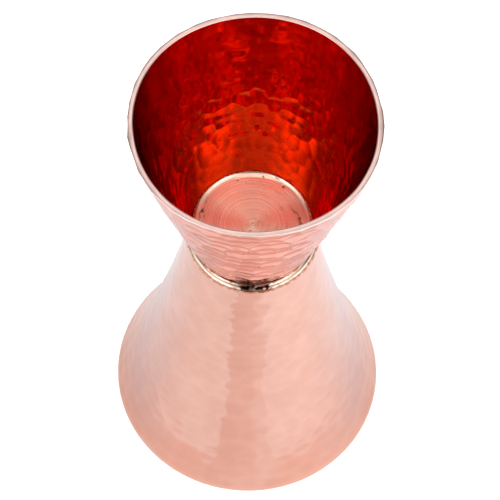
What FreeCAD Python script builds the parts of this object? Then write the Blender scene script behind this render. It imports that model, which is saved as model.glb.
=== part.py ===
# A double-ended bar jigger in hammered sheet copper: a small cup that opens upwards and a larger, bell-shaped cup
# that opens downwards, joined at a narrow waist under a polished half-round ring.
#
# Frame: +Z up, millimetres. The origin is the middle of the large mouth, on the surface that the jigger stands on.
# Everything is turned about Z, so each piece is one closed sketch on its body's XZ plane, revolved once round.
#
# How it goes together, from the top:
#   upper_cup_wall      tapered sheet tube, the 1 oz cup's side; its narrow end drops into the bell's neck
#   upper_floor_solder  fillet of solder round the edge of the upper floor
#   upper_cup_floor     slightly dished disc that jams in the taper and closes the 1 oz cup
#   waist_ring          half-round ring on the bell's top edge, round the upper cup's wall
#   waist_solder        wedge of solder between the narrow end of the upper cup and the bell's neck
#   lower_cup_floor     slightly dished disc, pushed up from the large mouth until it meets the upper cup's end
#   lower_floor_solder  fillet of solder round the edge of the lower floor
#   lower_cup_wall      bell-shaped sheet tube, the 2 oz cup's side, flared towards its mouth
import FreeCAD, Part
import math
import os
import Sketcher
from FreeCAD import Vector as V

doc = FreeCAD.newDocument("jigger")

# ---------------------------------------------------------------------------------------------- driving dimensions
dims = doc.addObject("Spreadsheet::Sheet", "dims")
CELLS = [
    ("overall_height", 103.5, "mouth to mouth"),
    ("wall", 0.95, "copper sheet, both walls"),
    ("lip_round", 0.2, "rounding of each lip's two edges"),
    ("cup_mouth_radius", 21.66, "upper cup, outside, at its mouth"),
    ("cup_end_radius", 10.17, "upper cup, outside, at its narrow end"),
    ("cup_end_height", 60.2, "height of the upper cup's narrow end"),
    ("cup_side_curve", 990.0, "radius of the upper cup's slightly barrelled side"),
    ("neck_height", 62.35, "height of the bell's top edge"),
    ("neck_radius", 11.83, "bell, outside, at its top edge"),
    ("bell_mid_height", 22.0, "where the bell's two curves meet"),
    ("bell_mid_radius", 19.64, "bell, outside, there"),
    ("bell_upper_curve", 444.5, "radius of the bell's long upper curve"),
    ("bell_mouth_radius", 26.75, "bell, outside, at its mouth"),
    ("ring_bore_low", 10.83, "waist ring, inside, at its foot"),
    ("ring_bore_top", 11.21, "waist ring, inside, at its top"),
    ("ring_foot_radius", 11.95, "waist ring, outside, at its foot"),
    ("ring_height", 1.39, "waist ring, foot to top"),
    ("ring_round", 0.86, "radius of the ring's rounded face"),
    ("floor_sheet", 0.9, "thickness of both floors"),
    ("floor_flat_height", 65.5, "upper floor, top of its flat"),
    ("floor_flat_radius", 8.4, "upper floor, radius of its flat"),
    ("floor_edge_radius", 10.8, "upper floor, top edge"),
    ("floor_dish", 0.55, "upper floor, rise from flat to edge"),
    ("base_floor_height", 60.15, "lower floor, top of its flat"),
    ("base_flat_radius", 10.3, "lower floor, radius of its flat"),
    ("base_edge_radius", 11.33, "lower floor, lower edge"),
    ("base_floor_dish", 0.3, "lower floor, drop from flat to edge"),
    ("seam_leg", 0.5, "leg of each floor's solder fillet"),
    ("joint_gap", 0.02, "clearance between a piece and its neighbour"),
]
for n, (alias, value, note) in enumerate(CELLS, start=1):
    dims.set("A%d" % n, note)
    dims.set("B%d" % n, repr(value))
    dims.setAlias("B%d" % n, alias)
doc.recompute()


def dim(alias):
    return float(getattr(dims, alias))


# ---------------------------------------------------------------------------------------------------- sketch tools
def line(a, b):
    return Part.LineSegment(V(a[0], a[1], 0), V(b[0], b[1], 0))


def arc(centre, start, end):
    """Anticlockwise from start to end about centre, in the sketch's plane."""
    radius = math.hypot(start[0] - centre[0], start[1] - centre[1])
    a = math.atan2(start[1] - centre[1], start[0] - centre[0])
    b = math.atan2(end[1] - centre[1], end[0] - centre[0])
    while b < a:
        b += 2 * math.pi
    return Part.ArcOfCircle(Part.Circle(V(centre[0], centre[1], 0), V(0, 0, 1), radius), a, b)


def centre_of(a, b, radius):
    """Centre of the circle through a and b that lies to the left of the way from a to b."""
    mx, my = (a[0] + b[0]) / 2, (a[1] + b[1]) / 2
    dx, dy = b[0] - a[0], b[1] - a[1]
    chord = math.hypot(dx, dy)
    rise = math.sqrt(radius * radius - chord * chord / 4)
    return (mx - dy / chord * rise, my + dx / chord * rise)


class Profile:
    """A closed sketch on a body's own XZ plane: x is the radius from the axis, y the height."""

    def __init__(self, label):
        self.body = doc.addObject("PartDesign::Body", label)
        self.body.Label = label
        self.sketch = self.body.newObject("Sketcher::SketchObject", label + "_profile")
        plane = [f for f in self.body.Origin.OriginFeatures if f.Role == "XZ_Plane"][0]
        self.sketch.AttachmentSupport = [(plane, "")]
        self.sketch.MapMode = "FlatFace"
        self.label = label

    def add(self, *shapes):
        return [self.sketch.addGeometry(s, False) for s in shapes]

    def tie(self, *args):
        return self.sketch.addConstraint(Sketcher.Constraint(*args))

    def size(self, name, expression, *args):
        """A dimension that follows the sheet."""
        n = self.sketch.addConstraint(Sketcher.Constraint(*args))
        self.sketch.renameConstraint(n, name)
        self.sketch.setExpression("Constraints." + name, expression)

    def at(self, name, geo, pos, x, y):
        """Puts a sketch point at the height and radius that two expressions give."""
        here = self.sketch.getPoint(geo, pos)
        if x is not None:
            self.size(name + "_x", x, "DistanceX", -1, 1, geo, pos, here.x)
        if y is not None:
            self.size(name + "_y", y, "DistanceY", -1, 1, geo, pos, here.y)

    def revolve(self):
        doc.recompute()
        turned = self.body.newObject("PartDesign::Revolution", self.label + "_turned")
        turned.Profile = self.sketch
        turned.ReferenceAxis = (self.sketch, ["V_Axis"])
        turned.Angle = 360.0
        self.body.Tip = turned
        doc.recompute()
        return turned

    def round_lip(self, height):
        """Rounds the two edges of the flat lip at that height."""
        turned = self.body.Tip
        names = []
        for n, e in enumerate(turned.Shape.Edges, start=1):
            box = e.BoundBox
            if isinstance(e.Curve, Part.Circle) and abs(box.ZMin - height) < 1e-4 and abs(box.ZMax - height) < 1e-4:
                names.append("Edge%d" % n)
        assert len(names) == 2, (self.label, names)
        rounded = self.body.newObject("PartDesign::Fillet", self.label + "_lip")
        rounded.Base = (turned, names)
        rounded.Radius = dim("lip_round")
        rounded.setExpression("Radius", "dims.lip_round")
        self.body.Tip = rounded
        doc.recompute()


H = dim("overall_height")
WALL = dim("wall")
GAP = dim("joint_gap")

# ------------------------------------------------------------------------------------------------- upper cup's wall
# A tapered tube whose side is barrelled by a quarter of a millimetre. Both faces are arcs about one centre, on the
# axis side of the wall.
p = Profile("upper_cup_wall")
low, top = (dim("cup_end_radius"), dim("cup_end_height")), (dim("cup_mouth_radius"), H)
c = centre_of(low, top, dim("cup_side_curve"))
inner_r = dim("cup_side_curve") - WALL


def on_arc(centre, radius, y, side):
    """The point of a circle at height y, on its right (side 1) or left (side -1)."""
    return (centre[0] + side * math.sqrt(radius * radius - (y - centre[1]) ** 2), y)


cup_centre = c
low_in, top_in = on_arc(c, inner_r, low[1], 1), on_arc(c, inner_r, H, 1)
o, t, i, b = p.add(arc(c, low, top), line(top, top_in), arc(c, low_in, top_in), line(low_in, low))
p.tie("Coincident", o, 2, t, 1)
p.tie("Coincident", t, 2, i, 2)
p.tie("Coincident", i, 1, b, 1)
p.tie("Coincident", b, 2, o, 1)
p.tie("Coincident", o, 3, i, 3)
p.tie("Horizontal", t)
p.tie("Horizontal", b)
p.at("end", o, 1, "dims.cup_end_radius", "dims.cup_end_height")
p.at("mouth", o, 2, "dims.cup_mouth_radius", "dims.overall_height")
p.size("outside", "dims.cup_side_curve", "Radius", o, dim("cup_side_curve"))
p.size("inside", "dims.cup_side_curve - dims.wall", "Radius", i, inner_r)
p.revolve()
p.round_lip(H)

# ------------------------------------------------------------------------------------------------- lower cup's wall
# The bell: a long, slow curve down from the neck, then a tighter flare to the mouth, tangent where they meet. Their
# centres lie outside the bell, so the inside faces have the larger radii.
p = Profile("lower_cup_wall")
neck = (dim("neck_radius"), dim("neck_height"))
mid = (dim("bell_mid_radius"), dim("bell_mid_height"))
foot = (dim("bell_mouth_radius"), 0.0)
ra = dim("bell_upper_curve")
ca = centre_of(neck, mid, ra)
# The flare's centre is on the line from the upper curve's centre through the meeting point, at equal distance from
# that point and the foot.
ux, uy = (ca[0] - mid[0]) / ra, (ca[1] - mid[1]) / ra
dx, dy = foot[0] - mid[0], foot[1] - mid[1]
rb = (dx * dx + dy * dy) / (2 * (dx * ux + dy * uy))
cb = (mid[0] + ux * rb, mid[1] + uy * rb)
bell = {"ca": ca, "ra": ra, "cb": cb, "rb": rb}
mid_in = (mid[0] - ux * WALL, mid[1] - uy * WALL)
neck_in, foot_in = on_arc(ca, ra + WALL, neck[1], -1), on_arc(cb, rb + WALL, 0.0, -1)
oa, ob, land, ib, ia, edge = p.add(
    arc(ca, neck, mid),
    arc(cb, mid, foot),
    line(foot, foot_in),
    arc(cb, mid_in, foot_in),
    arc(ca, neck_in, mid_in),
    line(neck_in, neck),
)
p.tie("Tangent", oa, 2, ob, 1)
p.tie("Coincident", ob, 2, land, 1)
p.tie("Coincident", land, 2, ib, 2)
p.tie("Coincident", ia, 1, edge, 1)
p.tie("Coincident", edge, 2, oa, 1)
p.tie("Coincident", oa, 3, ia, 3)
p.tie("Coincident", ob, 3, ib, 3)
p.tie("Tangent", ia, 2, ib, 1)
p.tie("Horizontal", land)
p.tie("Horizontal", edge)
p.at("neck", oa, 1, "dims.neck_radius", "dims.neck_height")
p.at("mid", oa, 2, "dims.bell_mid_radius", "dims.bell_mid_height")
p.size("mouth_x", "dims.bell_mouth_radius", "DistanceX", -1, 1, ob, 2, foot[0])
p.tie("PointOnObject", ob, 2, -1)
p.size("outside", "dims.bell_upper_curve", "Radius", oa, ra)
p.size("inside", "dims.bell_upper_curve + dims.wall", "Radius", ia, ra + WALL)
p.revolve()
p.round_lip(0.0)

# ------------------------------------------------------------------------------------------------------ upper floor
# A disc, flat in the middle, whose border is dished up to its edge. The edge is cut to the taper of the wall.
p = Profile("upper_cup_floor")
sheet = dim("floor_sheet")
flat_z, flat_r = dim("floor_flat_height"), dim("floor_flat_radius")
edge_r, dish = dim("floor_edge_radius"), dim("floor_dish")
run = edge_r - flat_r
dish_r = (run * run + dish * dish) / (2 * dish)
dc = (flat_r, flat_z + dish_r)
slope = (on_arc(cup_centre, inner_r, flat_z + 0.5, 1)[0] - on_arc(cup_centre, inner_r, flat_z - 0.5, 1)[0])
e1 = (edge_r, flat_z + dish)
# Where the edge, falling inwards with the wall's taper, meets the underside's arc.
qa = slope * slope + 1
qb = -2 * slope * run + 2 * (dish_r - dish)
qc = run * run + (dish_r - dish) ** 2 - (dish_r + sheet) ** 2
fall = (-qb + math.sqrt(qb * qb - 4 * qa * qc)) / (2 * qa)
e2 = (edge_r - slope * fall, e1[1] - fall)
f, up, ed, un, uf, ax = p.add(
    line((0, flat_z), (flat_r, flat_z)),
    arc(dc, (flat_r, flat_z), e1),
    line(e1, e2),
    arc(dc, (flat_r, flat_z - sheet), e2),
    line((flat_r, flat_z - sheet), (0, flat_z - sheet)),
    line((0, flat_z - sheet), (0, flat_z)),
)
p.tie("Coincident", f, 2, up, 1)
p.tie("Coincident", up, 2, ed, 1)
p.tie("Coincident", ed, 2, un, 2)
p.tie("Coincident", un, 1, uf, 1)
p.tie("Coincident", uf, 2, ax, 1)
p.tie("Coincident", ax, 2, f, 1)
p.tie("Coincident", up, 3, un, 3)
p.tie("Horizontal", f)
p.tie("Horizontal", uf)
p.tie("PointOnObject", f, 1, -2)
p.tie("PointOnObject", uf, 2, -2)
p.at("flat", f, 2, "dims.floor_flat_radius", "dims.floor_flat_height")
p.at("rim", up, 2, "dims.floor_edge_radius", "dims.floor_flat_height + dims.floor_dish")
p.size("centre_x", "dims.floor_flat_radius", "DistanceX", -1, 1, up, 3, dc[0])
p.at("under", uf, 1, "dims.floor_flat_radius", "dims.floor_flat_height - dims.floor_sheet")
p.at("edge_low", ed, 2, "dims.floor_edge_radius - %.6f" % (edge_r - e2[0]), None)
p.revolve()

# ------------------------------------------------------------------------------------------------------ lower floor
# The same, the other way up: its border is dished down, towards the large mouth.
p = Profile("lower_cup_floor")
top_z, flat_r = dim("base_floor_height"), dim("base_flat_radius")
edge_r, dish = dim("base_edge_radius"), dim("base_floor_dish")
run = edge_r - flat_r
under_z = top_z - sheet
dish_r = (run * run + dish * dish) / (2 * dish)
# The underside's border is an arc about a point below it; the top's border is parallel to it.
dc = (flat_r, under_z - dish_r)
e1 = (edge_r, under_z - dish)
bell_in = lambda y: on_arc(bell["ca"], bell["ra"] + WALL, y, -1)[0]
slope = bell_in(under_z - 0.5) - bell_in(under_z + 0.5)
qa = slope * slope + 1
qb = -2 * slope * run + 2 * (dish_r - dish)
qc = run * run + (dish_r - dish) ** 2 - (dish_r + sheet) ** 2
rise = (-qb + math.sqrt(qb * qb - 4 * qa * qc)) / (2 * qa)
e2 = (edge_r - slope * rise, e1[1] + rise)
f, up, ed, un, uf, ax = p.add(
    line((0, top_z), (flat_r, top_z)),
    arc(dc, e2, (flat_r, top_z)),
    line(e2, e1),
    arc(dc, e1, (flat_r, under_z)),
    line((flat_r, under_z), (0, under_z)),
    line((0, under_z), (0, top_z)),
)
p.tie("Coincident", f, 2, up, 2)
p.tie("Coincident", up, 1, ed, 1)
p.tie("Coincident", ed, 2, un, 1)
p.tie("Coincident", un, 2, uf, 1)
p.tie("Coincident", uf, 2, ax, 1)
p.tie("Coincident", ax, 2, f, 1)
p.tie("Coincident", up, 3, un, 3)
p.tie("Horizontal", f)
p.tie("Horizontal", uf)
p.tie("PointOnObject", f, 1, -2)
p.tie("PointOnObject", uf, 2, -2)
p.at("flat", f, 2, "dims.base_flat_radius", "dims.base_floor_height")
p.at("under", uf, 1, "dims.base_flat_radius", "dims.base_floor_height - dims.floor_sheet")
p.at("rim", un, 1, "dims.base_edge_radius", "dims.base_floor_height - dims.floor_sheet - dims.base_floor_dish")
p.size("centre_x", "dims.base_flat_radius", "DistanceX", -1, 1, up, 3, dc[0])
p.at("edge_top", ed, 1, "dims.base_edge_radius - %.6f" % (edge_r - e2[0]), None)
p.revolve()
lower_floor_under = under_z

# ------------------------------------------------------------------------------------------------------- waist ring
# Half-round: a flat bore that leans with the upper cup's wall, a flat foot on the bell's top edge, a rounded face.
p = Profile("waist_ring")
foot_z = dim("neck_height") + GAP / 2
a0 = (dim("ring_bore_low"), foot_z)
a1 = (dim("ring_bore_top"), foot_z + dim("ring_height"))
a2 = (dim("ring_foot_radius"), foot_z)
rc = centre_of(a2, a1, dim("ring_round"))
bore, face, foot_line = p.add(line(a0, a1), arc(rc, a2, a1), line(a2, a0))
p.tie("Coincident", bore, 2, face, 2)
p.tie("Coincident", face, 1, foot_line, 1)
p.tie("Coincident", foot_line, 2, bore, 1)
p.tie("Horizontal", foot_line)
p.at("low", bore, 1, "dims.ring_bore_low", "dims.neck_height + dims.joint_gap / 2")
p.at("top", bore, 2, "dims.ring_bore_top", "dims.neck_height + dims.joint_gap / 2 + dims.ring_height")
p.size("foot_x", "dims.ring_foot_radius", "DistanceX", -1, 1, foot_line, 1, a2[0])
p.size("round", "dims.ring_round", "Radius", face, dim("ring_round"))
p.revolve()

# ----------------------------------------------------------------------------------------------------- waist solder
# The wedge between the cup's narrow end, which tapers inwards, and the bell's neck, which opens out.
p = Profile("waist_solder")
cup_out = lambda y: on_arc(cup_centre, dim("cup_side_curve"), y, 1)[0]
z0, z1 = dim("cup_end_height") + GAP, dim("neck_height") - GAP
pts = [(cup_out(z0) + GAP, z0), (bell_in(z0) - GAP, z0), (bell_in(z1) - GAP, z1), (cup_out(z1) + GAP, z1)]
g = p.add(*[line(pts[k], pts[(k + 1) % 4]) for k in range(4)])
for k in range(4):
    p.tie("Coincident", g[k], 2, g[(k + 1) % 4], 1)
p.tie("Horizontal", g[0])
p.tie("Horizontal", g[2])
p.at("a", g[0], 1, "dims.cup_end_radius + %.6f" % (pts[0][0] - dim("cup_end_radius")), "dims.cup_end_height + dims.joint_gap")
p.at("b", g[1], 1, "dims.neck_radius - %.6f" % (dim("neck_radius") - pts[1][0]), None)
p.at("c", g[2], 1, "dims.neck_radius - %.6f" % (dim("neck_radius") - pts[2][0]), "dims.neck_height - dims.joint_gap")
p.at("d", g[3], 1, "dims.cup_end_radius + %.6f" % (pts[3][0] - dim("cup_end_radius")), None)
p.revolve()

# ------------------------------------------------------------------------------------------------ solder at the floors
# Each is a fillet in the corner between the floor's border and the wall, seen from inside the cup.
leg = dim("seam_leg")
cup_in = lambda y: on_arc(cup_centre, inner_r, y, 1)[0]


def seam(label, pts, base_x, base_z):
    p = Profile(label)
    g = p.add(*[line(pts[k], pts[(k + 1) % 3]) for k in range(3)])
    for k in range(3):
        p.tie("Coincident", g[k], 2, g[(k + 1) % 3], 1)
    x0, y0 = (float(doc.dims.get(dims.getCellFromAlias(n))) for n in (base_x, base_z))
    for k, (x, y) in enumerate(pts):
        p.at("p%d" % k, g[k], 1, "dims.%s + %.6f" % (base_x, x - x0), "dims.%s + %.6f" % (base_z, y - y0))
    p.revolve()


edge_z = dim("floor_flat_height") + dim("floor_dish")
dish_r = ((dim("floor_edge_radius") - dim("floor_flat_radius")) ** 2 + dim("floor_dish") ** 2) / (2 * dim("floor_dish"))
inner_x = dim("floor_edge_radius") - leg
inner_z = dim("floor_flat_height") + dish_r - math.sqrt(dish_r ** 2 - (inner_x - dim("floor_flat_radius")) ** 2)
seam(
    "upper_floor_solder",
    [
        (inner_x, inner_z + GAP),
        (dim("floor_edge_radius") + 0.01, edge_z + GAP),
        (cup_in(edge_z + leg) - GAP, edge_z + leg),
    ],
    "floor_edge_radius",
    "floor_flat_height",
)

edge_z = dim("base_floor_height") - sheet - dim("base_floor_dish")
dish_r = ((dim("base_edge_radius") - dim("base_flat_radius")) ** 2 + dim("base_floor_dish") ** 2) / (2 * dim("base_floor_dish"))
inner_x = dim("base_edge_radius") - leg
inner_z = dim("base_floor_height") - sheet - dish_r + math.sqrt(dish_r ** 2 - (inner_x - dim("base_flat_radius")) ** 2)
seam(
    "lower_floor_solder",
    [
        (inner_x, inner_z - GAP),
        (bell_in(edge_z - leg) - GAP, edge_z - leg),
        (dim("base_edge_radius") + 0.01, edge_z - GAP),
    ],
    "base_edge_radius",
    "base_floor_height",
)

# ---------------------------------------------------------------------------------------------------- check and write
doc.recompute()
for o in doc.Objects:
    if "Invalid" in o.State or "Error" in o.State:
        raise SystemExit("%s failed: %s" % (o.Label, o.State))
bodies = [o for o in doc.Objects if o.TypeId == "PartDesign::Body"]
for o in doc.Objects:
    if o.TypeId == "Sketcher::SketchObject":
        left = o.solve()
        if left != 0:
            raise SystemExit("%s does not solve: %s" % (o.Label, left))
os.makedirs("parts", exist_ok=True)
for o in bodies:
    s = o.Shape
    if s.isNull() or not s.isValid() or len(s.Solids) != 1 or s.Volume <= 0:
        raise SystemExit("%s has no sound solid" % o.Label)
    s.exportStep(os.path.join("parts", o.Label + ".step"))
    box = s.optimalBoundingBox(False)
    print("%-20s %9.3f mm3   r %.3f   z %.3f to %.3f" % (o.Label, s.Volume, box.XMax, box.ZMin, box.ZMax))
for k, a in enumerate(bodies):
    for b in bodies[k + 1 :]:
        shared = a.Shape.common(b.Shape).Volume
        if shared > 1e-6:
            print("overlap", a.Label, b.Label, round(shared, 6))


# Capacity of each cup, filled level with its lip.
def litres(radius_at, low, high, n=4000):
    step = (high - low) / n
    return sum(math.pi * radius_at(low + (k + 0.5) * step) ** 2 for k in range(n)) * step / 1000


def bell_inside(y):
    if y > mid_in[1]:
        return on_arc(ca, ra + WALL, y, -1)[0]
    return on_arc(cb, rb + WALL, y, -1)[0]


print("upper cup holds %.2f ml" % litres(cup_in, dim("floor_flat_height"), H))
print("lower cup holds %.2f ml" % litres(bell_inside, 0, lower_floor_under))
print("flare radius %.2f" % rb, "total volume", round(sum(o.Shape.Volume for o in bodies), 2))
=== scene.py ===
# The looks of the double-ended copper jigger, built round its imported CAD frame.
import math

import bpy
import numpy as np
from mathutils import Matrix, Vector


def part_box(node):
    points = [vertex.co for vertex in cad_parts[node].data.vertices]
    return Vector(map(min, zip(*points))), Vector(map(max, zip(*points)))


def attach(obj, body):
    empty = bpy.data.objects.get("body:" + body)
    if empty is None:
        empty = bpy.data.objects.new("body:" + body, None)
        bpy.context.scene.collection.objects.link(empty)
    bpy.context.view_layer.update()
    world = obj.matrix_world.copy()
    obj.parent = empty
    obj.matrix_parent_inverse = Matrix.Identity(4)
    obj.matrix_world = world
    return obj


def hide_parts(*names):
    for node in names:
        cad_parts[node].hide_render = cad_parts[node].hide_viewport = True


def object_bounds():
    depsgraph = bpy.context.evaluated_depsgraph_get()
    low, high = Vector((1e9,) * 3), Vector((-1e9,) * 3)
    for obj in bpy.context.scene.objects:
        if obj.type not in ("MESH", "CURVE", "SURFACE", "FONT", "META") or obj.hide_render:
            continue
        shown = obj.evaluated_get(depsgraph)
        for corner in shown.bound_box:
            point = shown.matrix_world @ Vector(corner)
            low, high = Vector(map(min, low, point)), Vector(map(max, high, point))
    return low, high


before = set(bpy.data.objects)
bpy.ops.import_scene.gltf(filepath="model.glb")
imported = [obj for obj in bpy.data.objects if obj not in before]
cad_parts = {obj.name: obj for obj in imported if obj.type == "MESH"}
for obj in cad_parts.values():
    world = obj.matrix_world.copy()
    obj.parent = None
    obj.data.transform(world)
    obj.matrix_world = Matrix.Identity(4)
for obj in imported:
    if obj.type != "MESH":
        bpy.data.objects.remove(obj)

cad_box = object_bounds()
MM = 0.001
TAU = 2 * math.pi

# ------------------------------------------------------------------------------------------------------- the camera
# The view that the object is judged against: from 63.5 degrees above the horizon, rolled by 2 degrees, with a long
# lens 0.4 m from the small mouth.
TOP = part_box("upper_cup_wall")[1].z
TILT, ROLL = math.radians(63.53), math.radians(1.95)
ct, st, cr, sr = math.cos(TILT), math.sin(TILT), math.cos(ROLL), math.sin(ROLL)
axes = Matrix(((cr, -sr, 0.0), (sr * st, cr * st, -ct), (sr * ct, cr * ct, st)))
cam_data = bpy.data.cameras.new("camera")
cam_data.sensor_width = 36.0
cam_data.lens = 172.8
cam_data.clip_start, cam_data.clip_end = 0.01, 20.0
cam = bpy.data.objects.new("camera", cam_data)
bpy.context.scene.collection.objects.link(cam)
cam.matrix_world = axes.to_4x4()
cam.location = Vector((0, 0, TOP)) - axes @ Vector((1.0 * MM, 21.47 * MM, -402.5 * MM))
bpy.context.scene.camera = cam


# --------------------------------------------------------------------------------------------------- profile curves
def centre_of(a, b, radius):
    mx, my = (a[0] + b[0]) / 2, (a[1] + b[1]) / 2
    dx, dy = b[0] - a[0], b[1] - a[1]
    chord = math.hypot(dx, dy)
    rise = math.sqrt(radius * radius - chord * chord / 4)
    return (mx - dy / chord * rise, my + dx / chord * rise)


HEIGHT, WALL = 103.5, 0.95
CUP_END, CUP_MOUTH, CUP_CURVE = (10.17, 60.2), (21.66, HEIGHT), 990.0
cup_centre = centre_of(CUP_END, CUP_MOUTH, CUP_CURVE)


def cup_out(z):
    return cup_centre[0] + np.sqrt(CUP_CURVE**2 - (z - cup_centre[1]) ** 2)


def cup_in(z):
    return cup_centre[0] + np.sqrt((CUP_CURVE - WALL) ** 2 - (z - cup_centre[1]) ** 2)


NECK, MID, FOOT, UPPER_CURVE = (11.83, 62.35), (19.64, 22.0), (26.75, 0.0), 444.5
upper_centre = centre_of(NECK, MID, UPPER_CURVE)
_ux, _uy = (upper_centre[0] - MID[0]) / UPPER_CURVE, (upper_centre[1] - MID[1]) / UPPER_CURVE
_dx, _dy = FOOT[0] - MID[0], FOOT[1] - MID[1]
FLARE = (_dx * _dx + _dy * _dy) / (2 * (_dx * _ux + _dy * _uy))
flare_centre = (MID[0] + _ux * FLARE, MID[1] + _uy * FLARE)


def bell(z, wall):
    z = np.asarray(z, float)
    high = upper_centre[0] - np.sqrt((UPPER_CURVE + wall) ** 2 - (z - upper_centre[1]) ** 2)
    low = flare_centre[0] - np.sqrt((FLARE + wall) ** 2 - (z - flare_centre[1]) ** 2)
    return np.where(z > MID[1] - _uy * wall, high, low)


def bell_out(z):
    return bell(z, 0.0)


def bell_in(z):
    return bell(z, WALL)


# ------------------------------------------------------------------------------------------------------ mesh helpers
def new_piece(name, verts, faces, mats, face_mat=None, attrs=None):
    """A mesh object from arrays in millimetres, shaded smooth. attrs is one number per vertex for each named attribute."""
    mesh = bpy.data.meshes.new(name)
    verts = np.asarray(verts, np.float32) * MM
    faces = np.asarray(faces, np.int32)
    sides = faces.shape[1]
    mesh.vertices.add(len(verts))
    mesh.vertices.foreach_set("co", verts.ravel())
    mesh.loops.add(faces.size)
    mesh.loops.foreach_set("vertex_index", faces.ravel())
    mesh.polygons.add(len(faces))
    mesh.polygons.foreach_set("loop_start", np.arange(0, faces.size, sides, dtype=np.int32))
    mesh.polygons.foreach_set("loop_total", np.full(len(faces), sides, np.int32))
    for m in mats:
        mesh.materials.append(m)
    if face_mat is not None:
        mesh.polygons.foreach_set("material_index", np.asarray(face_mat, np.int32))
    mesh.update(calc_edges=True)
    mesh.validate()
    mesh.shade_smooth()
    for key, values in (attrs or {}).items():
        at = mesh.attributes.new(key, "FLOAT", "POINT")
        at.data.foreach_set("value", np.asarray(values, np.float32).ravel())
    o = bpy.data.objects.new(name, mesh)
    bpy.context.scene.collection.objects.link(o)
    return o


def ring_faces(rows, cols, close=True):
    """Quads of a grid of rows by cols points that closes round its columns, and round its rows as well if close."""
    r = np.arange(rows if close else rows - 1)
    i, j = np.meshgrid(r, np.arange(cols), indexing="ij")
    i2, j2 = (i + 1) % rows, (j + 1) % cols
    return np.stack([i * cols + j, i * cols + j2, i2 * cols + j2, i2 * cols + j], -1).reshape(-1, 4)


def smoothstep(a, b, x):
    t = np.clip((x - a) / (b - a), 0, 1)
    return t * t * (3 - 2 * t)


def soft_noise(points, scale, seed, octaves=3):
    """Smooth value noise of 3-D points, about -1 to 1, from a seeded sum of sines in random directions."""
    rng = np.random.default_rng(seed)
    out = np.zeros(len(points))
    amp, total = 1.0, 0.0
    for o in range(octaves):
        for _ in range(7):
            d = rng.normal(size=3)
            d *= TAU / scale / np.linalg.norm(d) * rng.uniform(0.6, 1.3)
            out += amp * np.sin(points @ d + rng.uniform(0, TAU))
        total += amp * math.sqrt(7 / 2)
        amp *= 0.5
        scale *= 0.47
    return out / total


def blows(radius_at, z0, z1, row, pitch, seed, jitter=0.3):
    """Centres of hammer blows in rows round a turned surface, as 3-D points in mm."""
    rng = np.random.default_rng(seed)
    zs = np.arange(z0, z1, 0.2)
    rs = radius_at(zs)
    slant = np.concatenate([[0], np.cumsum(np.hypot(np.diff(zs), np.diff(rs)))])
    out = []
    s = rng.uniform(0, row)
    while s < slant[-1]:
        z = np.interp(s, slant, zs)
        r = float(radius_at(z))
        n = max(8, int(round(TAU * r / pitch)))
        phase = rng.uniform(0, TAU)
        for k in range(n):
            a = phase + TAU * (k + rng.uniform(-jitter, jitter)) / n
            zz = z + rng.uniform(-jitter, jitter) * row * 0.9
            rr = float(radius_at(min(max(zz, z0), z1)))
            out.append((rr * math.cos(a), rr * math.sin(a), zz))
        s += row * rng.uniform(0.85, 1.15)
    return np.array(out)


def hammered(points, centres, seed, face=20.0, depth=0.03, soft=0.006, stretch=1.0):
    """Height in mm of a surface struck at centres with a domed hammer face of that radius. It is below 0 at a blow and above 0 in a wide gap between blows."""
    rng = np.random.default_rng(seed)
    d0 = rng.uniform(0, depth, len(centres))
    k = 1 / (2 * face * rng.uniform(0.75, 1.35, len(centres)))
    out = np.empty(len(points))
    for a in range(0, len(points), 4096):
        p = points[a : a + 4096]
        q = p[:, None, :] - centres[None, :, :]
        q2 = q[..., 0] ** 2 + q[..., 1] ** 2 + stretch * q[..., 2] ** 2
        near = np.argpartition(q2, 8, axis=1)[:, :8]
        hh = -d0[near] + np.take_along_axis(q2, near, 1) * k[near]
        low = hh.min(1, keepdims=True)
        out[a : a + 4096] = low[:, 0] - soft * np.log(np.exp(-(hh - low) / soft).sum(1))
    return out


def slope_of(radius_at, z):
    return (radius_at(z + 0.05) - radius_at(z - 0.05)) / 0.1


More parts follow.
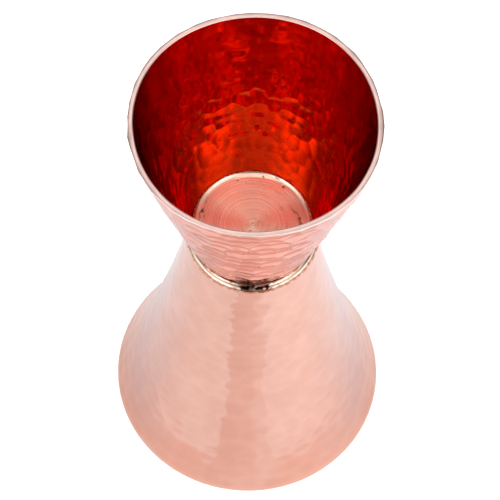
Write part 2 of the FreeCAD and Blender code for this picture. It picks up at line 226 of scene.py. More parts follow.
def shell(name, out_at, in_at, z_joined, z_lip, rows, cols, dent_out, dent_in, stain_out, stain_in, mats, lip=0.11, lean=None):
    """A turned sheet wall, hammered on both faces, from its joined end to a rounded lip.
    A section is one closed loop: up the outside, round the lip, down the inside, and across the joined end."""
    up = 1 if z_lip > z_joined else -1
    ang = TAU * np.arange(cols) / cols
    ca, sa = np.cos(ang), np.sin(ang)
    z = np.linspace(z_joined, z_lip - up * lip, rows)
    away = np.abs(z - z_lip)
    fade = 0.45 + 0.55 * smoothstep(0.4, 1.8, away)

    def face(radius_at, dents, side):
        r, sl = radius_at(z), slope_of(radius_at, z)
        nr, nz = side / np.sqrt(1 + sl**2), -side * sl / np.sqrt(1 + sl**2)
        p = np.stack([r[:, None] * ca, r[:, None] * sa, np.repeat(z[:, None], cols, 1)], -1)
        h = dents(p.reshape(-1, 3)).reshape(rows, cols)
        hf = h * fade[:, None]
        p[..., 0] += hf * nr[:, None] * ca
        p[..., 1] += hf * nr[:, None] * sa
        p[..., 2] += hf * nz[:, None]
        return p, h

    po, ho = face(out_at, dent_out, 1)
    pi, hi = face(in_at, dent_in, -1)
    so = stain_out(po.reshape(-1, 3)).reshape(rows, cols)
    si = stain_in(pi.reshape(-1, 3)).reshape(rows, cols)
    # the lip, a filed flat with rounded corners that follows both faces and wavers slightly
    a, b = po[-1], pi[-1]
    ra, rb = np.hypot(a[:, 0], a[:, 1]), np.hypot(b[:, 0], b[:, 1])
    tip = lip * (1 - 0.10 * (1 + soft_noise(np.stack([ca * 20, sa * 20, 0 * ca], -1), 7.0, 77)) / 2)
    n = 18
    turn = []
    for k in range(1, n):
        t = math.pi * k / n
        c = math.copysign(abs(math.cos(t)) ** 0.5, math.cos(t))
        w = 0.9 * math.sin(t) ** 0.5 + 0.1 * math.sin(t) ** 2
        r = (ra + rb) / 2 + (ra - rb) / 2 * c
        zz = (a[:, 2] + b[:, 2]) / 2 + (a[:, 2] - b[:, 2]) / 2 * c + up * tip * w
        turn.append(np.stack([r * ca, r * sa, zz], -1))
    turn = np.array(turn)
    pts = np.concatenate([po, turn, pi[::-1]], 0)
    if lean is not None:
        pts = lean(pts)
    widest = 1000 * cad_box[1].x - 0.01
    pts[..., :2] *= np.minimum(1, widest / np.hypot(pts[..., 0], pts[..., 1]))[..., None]
    pts[..., 2] = np.clip(pts[..., 2], 0.0, HEIGHT)
    zero = np.zeros((n - 1, cols))
    dent = np.concatenate([ho, zero, hi[::-1]], 0)
    stain = np.concatenate([so, zero, si[::-1]], 0)
    edge = np.concatenate([np.exp(-((away / 0.7) ** 2))[:, None] * np.ones((1, cols)), zero + 1, (np.exp(-((away / 0.7) ** 2))[:, None] * np.ones((1, cols)))[::-1]], 0)
    faces = ring_faces(len(pts), cols)
    first = faces[:, 0] // cols
    kind = np.where(first >= rows + n - 2, 1, 0)
    if up > 0:
        faces = faces[:, ::-1]
    faces = faces[:, ::-1]
    return new_piece(name, pts.reshape(-1, 3), faces, mats, kind, {"dent": dent, "stain": stain, "edge": edge})


# --------------------------------------------------------------------------------------------------------- materials
def material(name):
    m = bpy.data.materials.new(name)
    m.use_nodes = True
    nt = m.node_tree
    nt.nodes.clear()
    out = nt.nodes.new("ShaderNodeOutputMaterial")
    b = nt.nodes.new("ShaderNodeBsdfPrincipled")
    nt.links.new(b.outputs["BSDF"], out.inputs["Surface"])
    return m, nt, b


def node(nt, kind, **kw):
    n = nt.nodes.new(kind)
    for k, v in kw.items():
        setattr(n, k, v)
    return n


def ramp(nt, stops, source):
    r = nt.nodes.new("ShaderNodeValToRGB")
    e = r.color_ramp.elements
    while len(e) < len(stops):
        e.new(0.5)
    for el, (pos, col) in zip(e, stops):
        el.position = pos
        el.color = (*col, 1.0)
    nt.links.new(source, r.inputs["Fac"])
    return r.outputs["Color"]


def noise(nt, coord, scale, detail=3.0, rough=0.5, stretch=None):
    n = nt.nodes.new("ShaderNodeTexNoise")
    n.inputs["Scale"].default_value = scale
    n.inputs["Detail"].default_value = detail
    n.inputs["Roughness"].default_value = rough
    if stretch:
        mp = nt.nodes.new("ShaderNodeMapping")
        mp.inputs["Scale"].default_value = stretch
        nt.links.new(coord, mp.inputs["Vector"])
        nt.links.new(mp.outputs["Vector"], n.inputs["Vector"])
    else:
        nt.links.new(coord, n.inputs["Vector"])
    return n.outputs["Fac"]


def map_range(nt, source, a, b, c, d):
    n = nt.nodes.new("ShaderNodeMapRange")
    for k, v in zip(("From Min", "From Max", "To Min", "To Max"), (a, b, c, d)):
        n.inputs[k].default_value = v
    nt.links.new(source, n.inputs["Value"])
    return n.outputs["Result"]


def bump(nt, height, strength, distance, normal=None):
    n = nt.nodes.new("ShaderNodeBump")
    n.inputs["Strength"].default_value = strength
    n.inputs["Distance"].default_value = distance
    nt.links.new(height, n.inputs["Height"])
    if normal is not None:
        nt.links.new(normal, n.inputs["Normal"])
    return n.outputs["Normal"]


def attribute(nt, name):
    return node(nt, "ShaderNodeAttribute", attribute_name=name).outputs["Fac"]


def math_node(nt, op, a, b=None):
    n = node(nt, "ShaderNodeMath", operation=op)
    for i, v in enumerate((a, b)):
        if v is None:
            continue
        if isinstance(v, (int, float)):
            n.inputs[i].default_value = v
        else:
            nt.links.new(v, n.inputs[i])
    return n.outputs[0]


def mix_colour(nt, fac, a, b):
    n = node(nt, "ShaderNodeMix", data_type="RGBA")
    nt.links.new(fac, n.inputs["Factor"])
    for sock, v in ((n.inputs[6], a), (n.inputs[7], b)):
        if isinstance(v, tuple):
            sock.default_value = (*v, 1.0)
        else:
            nt.links.new(v, sock)
    return n.outputs[2]


def copper(name, dark, light, rough=(0.06, 0.14), scratch=0.15, dirt=None, lip=None, painted_dent_shade=0.0, grain=0.0, dull=0.22, rim=None, matt=0.5):
    """Bare copper: colour drifts between two tints, and where asked is darker in the hammer dents as a painted shade;
    roughness drifts between two values, with fine polishing marks.
    dirt tints where the mesh is stained, which on the ring and in the corner above it is painted reflection and painted
    shade, and lip is the colour of the polished edge, partly a painted highlight, and on the ring a painted dark
    reflection."""
    m, nt, b = material(name)
    co = nt.nodes.new("ShaderNodeTexCoord").outputs["Object"]
    drift = noise(nt, co, 130.0, 4.0, 0.6)
    # a painted shade: darker in the hammer dents, lighter on the ridges between them
    if painted_dent_shade:
        drift = math_node(nt, "ADD", drift, math_node(nt, "MULTIPLY", attribute(nt, "dent"), painted_dent_shade))
    colour = ramp(nt, [(0.3, dark), (0.7, light)], drift)
    # the lip colour is partly a painted highlight on the polished edge, and on the ring it is a painted dark reflection
    # at the front
    if lip:
        colour = mix_colour(nt, attribute(nt, "edge"), colour, lip)
    rgh = map_range(nt, noise(nt, co, 420.0, 3.0, 0.6), 0.3, 0.7, rough[0], rough[1])
    # the dirt colour is real stain on the solder and the front of the cup, and painted reflection and painted shade on
    # the ring and in the corner above it
    if dirt:
        colour = mix_colour(nt, attribute(nt, "stain"), colour, dirt)
        rgh = math_node(nt, "ADD", rgh, math_node(nt, "MULTIPLY", attribute(nt, "stain"), dull))
    nt.links.new(colour, b.inputs["Base Color"])
    nt.links.new(rgh, b.inputs["Roughness"])
    b.inputs["Metallic"].default_value = 1.0
    if dirt:
        # burnt flux and tarnish are matt, and so are the painted reflections and painted shade that the stain carries
        # on the ring and in the corner above it
        nt.links.new(map_range(nt, attribute(nt, "stain"), 0.0, 1.0, 1.0, 1.0 - matt), b.inputs["Metallic"])
    if rim:
        b.inputs["Specular Tint"].default_value = (*rim, 1.0)
    fine = noise(nt, co, 2600.0, 3.0, 0.65)
    normal = bump(nt, fine, scratch, 0.00001)
    if grain:
        normal = bump(nt, noise(nt, co, 700.0, 3.0, 0.7), grain, 0.00003, normal)
    nt.links.new(normal, b.inputs["Normal"])
    return m


def turned(name, dark, light, dirt):
    """A disc turned on a lathe: fine concentric grooves, drawn out into arcs, with dirt in the deepest."""
    m, nt, b = material(name)
    co = nt.nodes.new("ShaderNodeTexCoord").outputs["Object"]
    sep = nt.nodes.new("ShaderNodeSeparateXYZ")
    nt.links.new(co, sep.inputs[0])
    r2 = math_node(nt, "ADD", math_node(nt, "MULTIPLY", sep.outputs[0], sep.outputs[0]), math_node(nt, "MULTIPLY", sep.outputs[1], sep.outputs[1]))
    r = math_node(nt, "SQRT", r2)
    sway = noise(nt, co, 160.0, 2.0, 0.5)
    r = math_node(nt, "ADD", r, math_node(nt, "MULTIPLY", sway, 0.0004))

    def rings(scale, detail):
        n = nt.nodes.new("ShaderNodeTexNoise")
        n.noise_dimensions = "1D"
        n.inputs["Scale"].default_value = scale
        n.inputs["Detail"].default_value = detail
        n.inputs["Roughness"].default_value = 0.7
        nt.links.new(r, n.inputs["W"])
        return n.outputs["Fac"]

    fine, broad = rings(2600.0, 3.0), rings(700.0, 2.0)
    patch = noise(nt, co, 230.0, 3.0, 0.6)
    lines = math_node(nt, "ADD", math_node(nt, "MULTIPLY", fine, 0.45), math_node(nt, "MULTIPLY", patch, 0.55))
    colour = ramp(nt, [(0.34, dark), (0.62, light)], lines)
    colour = mix_colour(nt, attribute(nt, "stain"), colour, dirt)
    nt.links.new(colour, b.inputs["Base Color"])
    rgh = map_range(nt, lines, 0.3, 0.7, 0.31, 0.24)
    nt.links.new(math_node(nt, "ADD", rgh, math_node(nt, "MULTIPLY", attribute(nt, "stain"), 0.3)), b.inputs["Roughness"])
    b.inputs["Metallic"].default_value = 1.0
    b.inputs["Anisotropic"].default_value = 0.72
    b.inputs["Anisotropic Rotation"].default_value = 0.25
    tangent = nt.nodes.new("ShaderNodeTangent")
    tangent.direction_type = "RADIAL"
    tangent.axis = "Z"
    nt.links.new(tangent.outputs[0], b.inputs["Tangent"])
    n1 = bump(nt, broad, 0.25, 0.00003)
    nt.links.new(bump(nt, fine, 0.12, 0.00001, n1), b.inputs["Normal"])
    return m


# On the outsides the tone is darker in the hammer dents, a painted shade, and the pale lip colour is partly a painted
# highlight. On the upper cup the dirt colour is real flux streaks at the front, and painted shade in the corner above
# the ring.
OUTSIDE = copper("copper_outside", (0.78, 0.285, 0.20), (0.84, 0.36, 0.27), rough=(0.08, 0.18), dirt=(0.20, 0.016, 0.008), lip=(0.93, 0.64, 0.58), painted_dent_shade=1.5, dull=0.12, matt=0.25)
# The inside is painted a deeper red than copper, with a red edge tint and darker in its dents: a painted colour of
# light bounced round inside the cup, and painted shade.
INSIDE = copper("copper_inside", (0.83, 0.14, 0.030), (0.91, 0.20, 0.05), rough=(0.06, 0.12), dirt=(0.35, 0.08, 0.03), painted_dent_shade=1.5, rim=(0.60, 0.09, 0.04))
BELL = copper("copper_bell", (0.725, 0.40, 0.315), (0.785, 0.46, 0.375), rough=(0.05, 0.10), dirt=(0.55, 0.24, 0.16), lip=(0.80, 0.50, 0.40), painted_dent_shade=2.0, grain=0.22)
# The bell's inside is painted redder than its outside: a painted colour of light bounced round inside it.
BELL_IN = copper("copper_bell_inside", (0.80, 0.26, 0.13), (0.88, 0.34, 0.18), rough=(0.08, 0.16), dirt=(0.35, 0.10, 0.05))
# On the ring the brown dirt colour is a painted reflection of the bell along its foot and of the cup along its top,
# with painted shade in the crease and real pits; the near-black lip colour is a painted reflection of the dark gap
# where the camera stands.
RING = copper("copper_ring", (0.94, 0.66, 0.52), (0.99, 0.82, 0.70), rough=(0.03, 0.07), scratch=0.2, dirt=(0.58, 0.24, 0.15), lip=(0.025, 0.010, 0.008), dull=0.12, matt=0.15)
FLOOR_DISC = turned("copper_turned", (0.89, 0.58, 0.42), (0.99, 0.75, 0.57), (0.20, 0.05, 0.02))
SOLDER = copper("solder_bright", (0.87, 0.53, 0.41), (0.96, 0.74, 0.62), rough=(0.10, 0.25), scratch=0.5, dirt=(0.25, 0.09, 0.05))


def no_stain(p):
    return np.zeros(len(p))


def put(o, *nodes, slot):
    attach(o, "root")
    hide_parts(*nodes)
    return o


# ----------------------------------------------------------------------------------------------------- upper cup wall
c_out = blows(cup_out, 61.0, 103.4, 3.2, 3.2, 11)
c_in = blows(cup_in, 65.0, 103.4, 2.7, 3.0, 12, jitter=0.36)


def held_under(h, top, soft=0.02):
    """Relief h eased down to stay under top, with the crests rounded over and not cut flat."""
    return top - soft * np.logaddexp(0, (top - h) / soft)


def upper_outside(p):
    drawn_in = 0.11 * np.exp(-(((p[:, 2] - HEIGHT) / 0.7) ** 2))
    h = hammered(p, c_out, 21, face=7.8, depth=0.07, soft=0.003) - 0.05 - drawn_in
    joined = smoothstep(64.1, 63.7, p[:, 2])
    return (1 - joined) * h + joined * held_under(np.minimum(h, 0), -0.05)


def upper_inside(p):
    broad = soft_noise(p * np.array([1, 1, 2.0]), 9.0, 31, 2) * 0.03
    low = smoothstep(98.0, 84.0, p[:, 2]) * smoothstep(65.0, 70.0, p[:, 2])
    h = (0.12 + 0.88 * low) * hammered(p, c_in, 22, face=16.0, depth=0.075, soft=0.003) - 0.03 + broad
    joined = smoothstep(66.6, 66.2, p[:, 2])
    return (1 - joined) * h + joined * held_under(np.minimum(h, 0), -0.01, 0.01)


def waist_stain_and_painted_crease_shade(p):
    """Scorched streaks that thin out a few millimetres up the front, a dark band in the corner above the ring that is
    painted shade of the crease, and a faint broken darker line just under the lip.
    """
    n = soft_noise(p, 1.9, 41, 3)
    streak = soft_noise(p * np.array([0.8, 0.8, 2.4]), 2.6, 42, 3)
    front = smoothstep(-6.5, -10.5, p[:, 1]) * smoothstep(7.5, 3.0, np.abs(p[:, 0] - 0.3))
    up = (p[:, 2] - 64.0) / 6.0
    # corner: a dark band in the crease above the ring, a painted shade
    corner = np.exp(-(((p[:, 2] - 63.85) / 0.32) ** 2)) * (0.55 + 0.45 * smoothstep(-0.6, 0.5, n))
    burnt = front * smoothstep(-0.80 + 1.5 * up, -0.62 + 1.5 * up, streak) * smoothstep(1.15, 0.75, up)
    under_lip = 0.3 * np.exp(-(((p[:, 2] - HEIGHT + 0.85) / 0.17) ** 2)) * smoothstep(-0.5, 0.4, n)
    return np.clip(corner + burnt + under_lip, 0, 1)


def cup_lean(p):
    """The small mouth is a tenth of a millimetre out of round and to one side, as a hand-made cup's is."""
    f = smoothstep(64.0, HEIGHT, p[..., 2])
    a = np.arctan2(p[..., 1], p[..., 0])
    k = 1 + 0.0055 * f * np.cos(4 * (a - math.radians(54)))
    p = p.copy()
    p[..., 0] = p[..., 0] * k - 0.08 * f
    p[..., 1] = p[..., 1] * k
    return p


put(
    shell("upper_cup_hammered", cup_out, cup_in, 60.25, HEIGHT, 126, 360, upper_outside, upper_inside, waist_stain_and_painted_crease_shade, no_stain, [OUTSIDE, INSIDE], lean=cup_lean),
    "upper_cup_wall",
    slot="hammered_copper",
)

# ----------------------------------------------------------------------------------------------------- lower cup wall
b_out = blows(bell_out, 0.2, 62.2, 2.6, 4.0, 13)
b_in = blows(bell_in, 0.2, 60.0, 3.0, 3.6, 14)


def lower_outside(p):
    return np.minimum(0, hammered(p, b_out, 23, face=30.0, depth=0.014, soft=0.0012, stretch=1.7) - 0.075)


def lower_inside(p):
    h = hammered(p, b_in, 24, face=30.0, depth=0.03, soft=0.005) - 0.02
    joined = smoothstep(57.6, 58.3, p[:, 2])
    return (1 - joined) * h + joined * held_under(np.minimum(h, 0), -0.01, 0.01)


put(
    shell("lower_cup_hammered", bell_out, bell_in, 62.3, 0.0, 112, 400, lower_outside, lower_inside, no_stain, no_stain, [BELL, BELL_IN]),
    "lower_cup_wall",
    slot="hammered_copper",
)


# ------------------------------------------------------------------------------------------------------- floor discs
def disc(name, edge_r, flat_r, flat_z, dish, sheet, side, seed, stain_at, mat, wall_slope, bowl=0.0):
    """A turned disc. side is 1 if its worked face looks up and -1 if down. Its border is dished along an arc towards that face."""
    cols, rings_n = 300, 110
    ang = TAU * np.arange(cols) / cols
    ca, sa = np.cos(ang), np.sin(ang)
    r = np.linspace(0.12, edge_r, rings_n)
    rise = dish * (np.maximum(r - flat_r, 0) / (edge_r - flat_r)) ** 2 + bowl * (r / edge_r) ** 2
    rng = np.random.default_rng(seed)
    p = np.stack([r[:, None] * ca, r[:, None] * sa, np.zeros((rings_n, cols))], -1)
    flat = p.reshape(-1, 3)
    wob = soft_noise(flat, 9.0, seed + 1, 2).reshape(rings_n, cols)
    rr = r[:, None] + 0.12 * wob
    groove = np.zeros((rings_n, cols))
    for _ in range(34):
        r0, w = edge_r * rng.uniform(0.02, 0.96) ** 0.6, rng.uniform(0.1, 0.28)
        a0, span = rng.uniform(0, TAU), rng.uniform(0.8, 3.5)
        d = np.abs((ang - a0 + math.pi) % TAU - math.pi)
        gate = smoothstep(span / 2 + 0.4, span / 2 - 0.3, d) if span < TAU else np.ones(cols)
        groove -= rng.uniform(0.002, 0.009) * np.exp(-(((rr - r0) / w) ** 2)) * gate
    uneven = 0.03 * soft_noise(flat, 12.0, seed + 2, 2).reshape(rings_n, cols) * (smoothstep(0, 3, r) * smoothstep(edge_r - 0.5, edge_r - 0.9, r))[:, None]
    groove *= smoothstep(edge_r - 0.5, edge_r - 0.9, r)[:, None]
    stain, pits = stain_at(p, rr)
    z = rise[:, None] + groove + uneven - 0.08 * pits - 0.05
    p[..., 2] = flat_z + side * z
    # the plain face behind it follows the same dish, and its edge leans with the wall
    rb = np.linspace(edge_r - wall_slope * sheet, 0.5, 18)
    back = dish * (np.maximum(rb - flat_r, 0) / (edge_r - flat_r)) ** 2 - sheet + 0.02
    under = np.stack([rb[:, None] * ca, rb[:, None] * sa, np.repeat((flat_z + side * back)[:, None], cols, 1)], -1)
    pts = np.concatenate([p, under], 0)
    rows = len(pts)
    quads = ring_faces(rows, cols, close=False)
    tris = np.concatenate([quads[:, [0, 1, 2]], quads[:, [0, 2, 3]]], 0)
    pts = pts.reshape(-1, 3)
    top, bottom = len(pts), len(pts) + 1
    pts = np.concatenate([pts, [[0, 0, p[0, :, 2].mean()], [0, 0, flat_z + side * (0.02 - sheet)]]], 0)
    j = np.arange(cols)
    k = (j + 1) % cols
    last = (rows - 1) * cols
    tris = np.concatenate([tris, np.stack([k, j, np.full(cols, top)], -1), np.stack([last + j, last + k, np.full(cols, bottom)], -1)], 0)
    if side < 0:
        tris = tris[:, ::-1]
    st = np.concatenate([stain.ravel(), np.zeros(len(pts) - stain.size)])
    return new_piece(name, pts, tris[:, ::-1], [mat], None, {"stain": st, "dent": st * 0, "edge": st * 0})


def upper_marks(p, rr):
    a = np.arctan2(p[..., 1], p[..., 0])
    n = soft_noise(p.reshape(-1, 3), 1.1, 52, 3).reshape(rr.shape)
    n2 = soft_noise(p.reshape(-1, 3), 3.1, 53, 2).reshape(rr.shape)

    def arc_mark(r0, w, mid, half, gain, ragged=0.25):
        d = np.abs((a - mid + math.pi) % TAU - math.pi)
        return gain * np.exp(-(((rr + ragged * n * 0.6 - r0) / w) ** 2)) * smoothstep(half, half * 0.6, d) * (0.55 + 0.45 * n2)

    deg = np.degrees(a)
    along = smoothstep(-4, 3, deg) * smoothstep(36, 30, deg)
    s = 1.1 * along * np.exp(-(((rr + 0.16 * n - 8.85 + 0.034 * (deg - 3)) / 0.17) ** 2)) * (0.75 + 0.25 * n2)
    for r0, w, mid, half, gain, ragged in (
        (8.1, 0.07, 46, 0.35, 0.6, 0.2), (6.35, 0.06, 20, 1.0, 0.85, 0.05), (5.95, 0.05, 8, 0.7, 0.5, 0.05), (5.4, 0.04, 60, 1.5, 0.4, 0.05),
        (9.6, 0.13, 168, 0.45, 0.8, 0.4), (9.0, 0.09, 172, 0.5, 0.5, 0.3), (7.1, 0.05, 172, 0.7, 0.6, 0.05), (6.6, 0.05, 165, 0.8, 0.6, 0.05),
        (6.1, 0.05, 178, 0.7, 0.5, 0.05), (8.3, 0.05, 150, 0.6, 0.35, 0.05), (8.9, 0.06, 75, 1.2, 0.3, 0.1), (4.4, 0.04, -20, 1.2, 0.3, 0.05),
    ):
        s = np.maximum(s, arc_mark(r0, w, math.radians(mid), half, gain, ragged))
    pits = np.zeros_like(s)
    for deg, r0, w in ((108, 9.6, 0.14), (80, 10.1, 0.13), (56, 9.7, 0.24), (98, 8.9, 0.08), (12, 8.6, 0.12), (200, 8.9, 0.10), (92, 0.5, 0.10), (250, 1.1, 0.09), (300, 2.0, 0.09), (40, 1.4, 0.08)):
        x, y = r0 * math.cos(math.radians(deg)), r0 * math.sin(math.radians(deg))
        pits = np.maximum(pits, np.exp(-(((p[..., 0] - x) ** 2 + (p[..., 1] - y) ** 2) / w**2)))
    return np.clip(np.maximum(s, 1.2 * pits), 0, 1), pits


def lower_marks(p, rr):
    n = soft_noise(p.reshape(-1, 3), 1.6, 62, 3).reshape(rr.shape)
    s = np.clip(0.8 * np.exp(-(((rr - 10.9) / 0.35) ** 2)) * smoothstep(-0.2, 0.8, n), 0, 1)
    return s, np.zeros_like(s)


put(disc("upper_floor_turned", 10.74, 9.9, 65.53, 0.14, 1.0, 1, 71, upper_marks, FLOOR_DISC, 0.35, bowl=0.22), "upper_cup_floor", slot="turned_copper")
put(disc("lower_floor_turned", 11.3, 10.3, 59.25, 0.3, 0.88, -1, 72, lower_marks, FLOOR_DISC, 0.13), "lower_cup_floor", slot="turned_copper")


# -------------------------------------------------------------------------------------------------- rings and solder
def bead(name, section, cols, mat, seed, wander, lump, stain_at, painted_dark_at=None, shift=(0.0, 0.0), limit=None, true_bore=None):
    """A ring with that (radius, height) section, which wanders and swells a little on its way round.
    limit keeps it off the pieces beside it. true_bore is the pair of radii between which the wandering comes in, so its bore stays true."""
    ang = TAU * np.arange(cols) / cols
    ca, sa = np.cos(ang), np.sin(ang)
    sec = np.array(section)
    mid = sec.mean(0)
    r0 = mid[0]
    around = np.stack([ca * r0, sa * r0, 0 * ca], -1)
    swell = 1 + lump * soft_noise(around, 2.4, seed, 3)
    drift = wander * soft_noise(around, 6.0, seed + 1, 2)
    loose = np.ones((len(sec), 1)) if true_bore is None else smoothstep(true_bore[0], true_bore[1], sec[:, 0])[:, None]
    rr = sec[:, 0][:, None] + loose * ((sec[:, 0] - mid[0])[:, None] * (swell - 1) + drift)
    zz = sec[:, 1][:, None] + loose * ((sec[:, 1] - mid[1])[:, None] * (swell - 1) + 0.5 * drift)
    if limit is not None:
        rr, zz = limit(rr, zz)
    p = np.stack([rr * ca + loose * shift[0], rr * sa + loose * shift[1], zz], -1)
    st = stain_at(p.reshape(-1, 3)).reshape(len(sec), cols)
    # the second mask is a painted dark reflection, carried in the edge attribute where the lip colour goes
    painted_dark = painted_dark_at(p.reshape(-1, 3)).reshape(len(sec), cols) if painted_dark_at else st * 0
    return new_piece(name, p.reshape(-1, 3), ring_faces(len(sec), cols)[:, ::-1], [mat], None, {"stain": st, "dent": st * 0, "edge": painted_dark})


def curve_through(points, n):
    """A smooth open curve (Catmull-Rom) through those points."""
    p = np.array([points[0]] + list(points) + [points[-1]], float)
    out = []
    for i in range(1, len(p) - 2):
        for t in np.linspace(0, 1, n, endpoint=False):
            out.append(tuple(0.5 * (2 * p[i] + (p[i + 1] - p[i - 1]) * t + (2 * p[i - 1] - 5 * p[i] + 4 * p[i + 1] - p[i + 2]) * t**2 + (3 * p[i] - p[i - 1] - 3 * p[i + 1] + p[i + 2]) * t**3)))
    return out + [tuple(p[-2])]


foot_z = 62.36
ring_section = curve_through([(12.14, foot_z), (12.32, 62.58), (12.31, 62.86), (12.07, 63.22), (11.68, 63.54), (11.22, 63.75)], 6)
ring_rows = len(ring_section)
ring_section += [(11.22 - 0.36 * k / 6, 63.74 - (63.74 - foot_z) * k / 6) for k in range(1, 7)]
ring_section += [(10.86 + 1.28 * k / 6, foot_z) for k in range(1, 6)]


def ring_pits_and_painted_reflection(p):
    """Brown along its foot, a painted reflection of the bell, and along its top, a painted reflection of the cup with
    painted shade in the crease, with pits in between.
    """
    n = soft_noise(p, 0.9, 83, 3)
    patch = soft_noise(p, 1.7, 84, 3)
    low = smoothstep(63.38, 63.22, p[:, 2] + 0.08 * patch) * (0.45 + 0.55 * smoothstep(-0.9, 0.5, n))
    top = smoothstep(63.60, 63.72, p[:, 2] + 0.06 * patch)
    pits = smoothstep(0.85, 1.25, n) * smoothstep(63.55, 63.3, p[:, 2])
    return np.clip(np.maximum(np.maximum(0.9 * low, top), pits), 0, 1)


def ring_painted_dark_reflection(p):
    """A near-black patch at the front, a painted reflection of the dark gap where the camera stands, with bright specks
    left in it.
    """
    n = soft_noise(p, 1.3, 85, 3)
    a = np.degrees(np.arctan2(p[:, 0], -p[:, 1]))
    reach = smoothstep(17.5, 13.5, np.abs(a - 3.5) + 4.0 * n)
    specks = smoothstep(0.35, 0.62, soft_noise(p, 1.5, 88, 2))
    return reach * (1 - specks)


def bead_stain(p):
    n = soft_noise(p, 1.3, 93, 3)
    return np.clip(0.6 * smoothstep(0.75, 1.4, n), 0, 1)


put(bead("waist_ring_polished", ring_section, 420, RING, 81, 0.015, 0.02, ring_pits_and_painted_reflection, ring_painted_dark_reflection, (0.10, -0.09), true_bore=(11.24, 12.0)), "waist_ring", slot="polished_copper")

# the solder is a thin fillet, dished from the disc up to the wall
fillet = curve_through([(10.38, 65.77), (10.55, 65.82), (10.70, 65.88), (10.83, 65.95), (10.93, 66.05)], 4)
solder_section = fillet + [(10.97, 66.08), (10.90, 65.90), (10.80, 65.74), (10.50, 65.72)]


def above_upper_disc(r, z):
    z = np.maximum(z, 65.5 + 0.14 * (np.maximum(r - 9.9, 0) / 0.84) ** 2 + 0.22 * (r / 10.74) ** 2)
    return np.minimum(r, cup_in(z) - 0.02), z


def below_lower_disc(r, z):
    z = np.minimum(z, 59.262 - 0.3 * np.maximum(r - 10.3, 0) ** 2)
    return np.minimum(r, bell_in(z) - 0.02), z


put(bead("upper_floor_solder_bead", solder_section, 420, SOLDER, 91, 0.02, 0.08, bead_stain, limit=above_upper_disc), "upper_floor_solder", slot="solder")
low_section = [(r + 0.45, 2 * 62.51 - z) for r, z in solder_section][::-1]
put(bead("lower_floor_solder_bead", low_section, 420, SOLDER, 95, 0.02, 0.08, bead_stain, limit=below_lower_disc), "lower_floor_solder", slot="solder")

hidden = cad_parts["waist_solder"]
hidden.data.materials.clear()
hidden.data.materials.append(SOLDER)
hidden.data.shade_smooth()

# --------------------------------------------------------------------------------------------------------- the stage
# A white floor in soft light from all round. Metal is only what it reflects, so the studio has its own reflected
# surroundings: the floor as the metal sees it, with the jigger's own shade on it, and a sky with a soft box on each
# side and a dark gap where the camera stands.
SIZE = 1.5


def plane(name, z, mat):
    mesh = bpy.data.meshes.new(name)
    mesh.from_pydata([(-SIZE, -SIZE, z), (SIZE, -SIZE, z), (SIZE, SIZE, z), (-SIZE, SIZE, z)], [], [(0, 1, 2, 3)])
    mesh.materials.append(mat)
    o = bpy.data.objects.new(name, mesh)
    bpy.context.scene.collection.objects.link(o)
    return o


fm, fnt, fb = material("floor_white")
fb.inputs["Base Color"].default_value = (0.95, 0.95, 0.95, 1)
fb.inputs["Roughness"].default_value = 0.9
fb.inputs["Specular IOR Level"].default_value = 0.0
floor = plane("floor", 0.0, fm)
floor.visible_glossy = False

rm = bpy.data.materials.new("floor_in_reflections")
rm.use_nodes = True
rnt = rm.node_tree
rnt.nodes.clear()
rout = rnt.nodes.new("ShaderNodeOutputMaterial")
rem = rnt.nodes.new("ShaderNodeEmission")
rnt.links.new(rem.outputs["Emission"], rout.inputs["Surface"])
rco = rnt.nodes.new("ShaderNodeTexCoord").outputs["Object"]
rsep = rnt.nodes.new("ShaderNodeSeparateXYZ")
rnt.links.new(rco, rsep.inputs[0])
rx, ry = rsep.outputs[0], rsep.outputs[1]
rr = math_node(rnt, "SQRT", math_node(rnt, "ADD", math_node(rnt, "MULTIPLY", rx, rx), math_node(rnt, "MULTIPLY", ry, ry)))
side = map_range(rnt, math_node(rnt, "DIVIDE", ry, math_node(rnt, "MAXIMUM", rr, 0.001)), -0.80, -0.25, 0.0, 1.0)
# Near the jigger the reflected floor is painted darker, lilac beside it and warm in front, a painted glow of light
# bounced off the copper; it is also painted brighter on the right.
beside = ramp(rnt, [(0.0, (0.86, 0.74, 0.70)), (0.35, (0.84, 0.76, 0.76)), (0.6, (0.76, 0.76, 0.83)), (1.0, (0.86, 0.87, 0.92))], map_range(rnt, rr, 0.026, 0.036, 0.0, 1.0))
near_tint = mix_colour(rnt, side, (1.05, 0.92, 0.88), beside)
far_tint = ramp(rnt, [(0.0, (1.08, 1.08, 1.10)), (1.0, (1.12, 1.11, 1.13))], map_range(rnt, rr, 0.04, 0.12, 0.0, 1.0))
sharp = map_range(rnt, rr, 0.0355, 0.0380, 0.0, 1.0)
gentle = map_range(rnt, rr, 0.027, 0.062, 0.0, 1.0)
far = node(rnt, "ShaderNodeMix", data_type="FLOAT")
rnt.links.new(side, far.inputs[0])
rnt.links.new(sharp, far.inputs[2])
rnt.links.new(gentle, far.inputs[3])
shade = mix_colour(rnt, far.outputs[0], near_tint, far_tint)
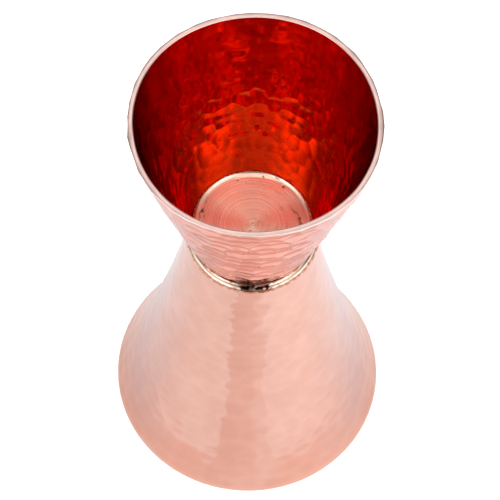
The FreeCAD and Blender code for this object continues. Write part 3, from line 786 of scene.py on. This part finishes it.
# the shade of whoever stands at the camera, a fan that opens away from the jigger
half = ramp(rnt, [(0.0, (0.0098,) * 3), (0.45, (0.0117,) * 3), (0.57, (0.0164,) * 3), (0.70, (0.034,) * 3), (1.0, (0.09,) * 3)], map_range(rnt, ry, 0.0, -0.100, 0.0, 1.0))
across = math_node(rnt, "DIVIDE", math_node(rnt, "ADD", rx, 0.0005), half)
fan = map_range(rnt, math_node(rnt, "ABSOLUTE", across), 0.92, 1.06, 1.0, 0.0)
fan = math_node(rnt, "MULTIPLY", fan, map_range(rnt, ry, -0.028, -0.034, 0.0, 1.0))
core = math_node(rnt, "MULTIPLY", fan, map_range(rnt, across, 0.28, 0.48, 1.0, 0.0))
shade = mix_colour(rnt, fan, shade, (1.04, 0.99, 0.98))
shade = mix_colour(rnt, core, shade, (1.01, 0.90, 0.87))
rightward = math_node(rnt, "MULTIPLY", map_range(rnt, rx, -0.01, 0.045, 0.0, 1.0), map_range(rnt, rr, 0.05, 0.085, 0.17, 0.09))
rightward = math_node(rnt, "ADD", rightward, map_range(rnt, rr, 0.05, 0.085, 1.03, 1.0))
grow = node(rnt, "ShaderNodeVectorMath", operation="SCALE")
rnt.links.new(shade, grow.inputs[0])
rnt.links.new(rightward, grow.inputs["Scale"])
rnt.links.new(grow.outputs[0], rem.inputs["Color"])
rem.inputs["Strength"].default_value = 1.0
seen = plane("floor_in_reflections", -0.00002, rm)
seen.visible_camera = seen.visible_diffuse = seen.visible_shadow = seen.visible_transmission = False

world = bpy.data.worlds.new("studio")
bpy.context.scene.world = world
world.use_nodes = True
wnt = world.node_tree
wnt.nodes.clear()
wout = wnt.nodes.new("ShaderNodeOutputWorld")
bg = wnt.nodes.new("ShaderNodeBackground")
wnt.links.new(bg.outputs["Background"], wout.inputs["Surface"])
way = wnt.nodes.new("ShaderNodeTexCoord").outputs["Generated"]
nrm = wnt.nodes.new("ShaderNodeVectorMath")
nrm.operation = "NORMALIZE"
wnt.links.new(way, nrm.inputs[0])
way = nrm.outputs[0]


wsep = wnt.nodes.new("ShaderNodeSeparateXYZ")
wnt.links.new(way, wsep.inputs[0])
turn_round = math_node(wnt, "ARCTAN2", wsep.outputs[0], math_node(wnt, "MULTIPLY", wsep.outputs[1], -1.0))
turn_round = math_node(wnt, "ADD", math_node(wnt, "DIVIDE", turn_round, TAU), 0.5)
rise = math_node(wnt, "MULTIPLY", math_node(wnt, "ARCSINE", wsep.outputs[2]), 360.0 / TAU)
# How bright the studio is by height in degrees, and round from the back by the left, the front and the right.
SKY = {
    11.0: [0.50, 0.35, 0.50, 0.80, 0.05, 0.80, 0.50, 0.35],
    30.0: [0.35, 0.30, 0.45, 1.10, 1.80, 2.10, 0.10, 2.20, 2.10, 1.30, 0.40, 0.30],
    43.0: [0.40, 0.30, 0.15, 0.10, 0.20, 0.55, 0.95, 1.20, 0.75, 0.10, 0.75, 1.30, 1.10, 0.60, 0.20, 0.10, 0.10, 0.25],
    52.0: [0.45, 0.25, 0.20, 0.10, 0.15, 0.35, 0.65, 0.55, 0.30, 0.08, 0.30, 0.55, 0.65, 0.35, 0.15, 0.10, 0.15, 0.25],
    60.0: [1.28, 0.40, 0.30, 0.50, 1.00, 1.15, 0.85, 0.35, 0.15, 0.08, 0.15, 0.35, 0.85, 1.10, 1.00, 0.55, 0.30, 0.40],
    69.0: [0.80, 0.40, 0.85, 3.00, 3.00, 0.80, 0.10, 0.80, 3.00, 3.20, 1.30, 0.70],
    78.5: [0.95, 1.60, 1.20, 0.10, 1.20, 1.70],
    90.0: [2.00],
}
sky, below = None, None
for el in sorted(SKY):
    row = SKY[el]
    stops = [(i / len(row), (v, v, v)) for i, v in enumerate(row)] + [(1.0, (row[0],) * 3)]
    band = ramp(wnt, stops, turn_round) if len(row) > 1 else None
    if sky is None:
        sky = band
    else:
        n = map_range(wnt, rise, below, el, 0.0, 1.0)
        sky = mix_colour(wnt, n, sky, band if band is not None else (row[0],) * 3)
    below = el
wnt.links.new(sky, bg.inputs["Color"])
bg.inputs["Strength"].default_value = 1.0

lamp = bpy.data.lights.new("overhead", "AREA")
lamp.shape = "DISK"
lamp.size = 1.2
lamp.energy = 16.0
lamp_o = bpy.data.objects.new("overhead", lamp)
lamp_o.location = (0, 0, 1.2)
bpy.context.scene.collection.objects.link(lamp_o)
lamp_o.visible_glossy = False

sc = bpy.context.scene
sc.cycles.max_bounces = 16
sc.cycles.glossy_bounces = 14
sc.view_settings.view_transform = "Standard"
sc.view_settings.look = "None"
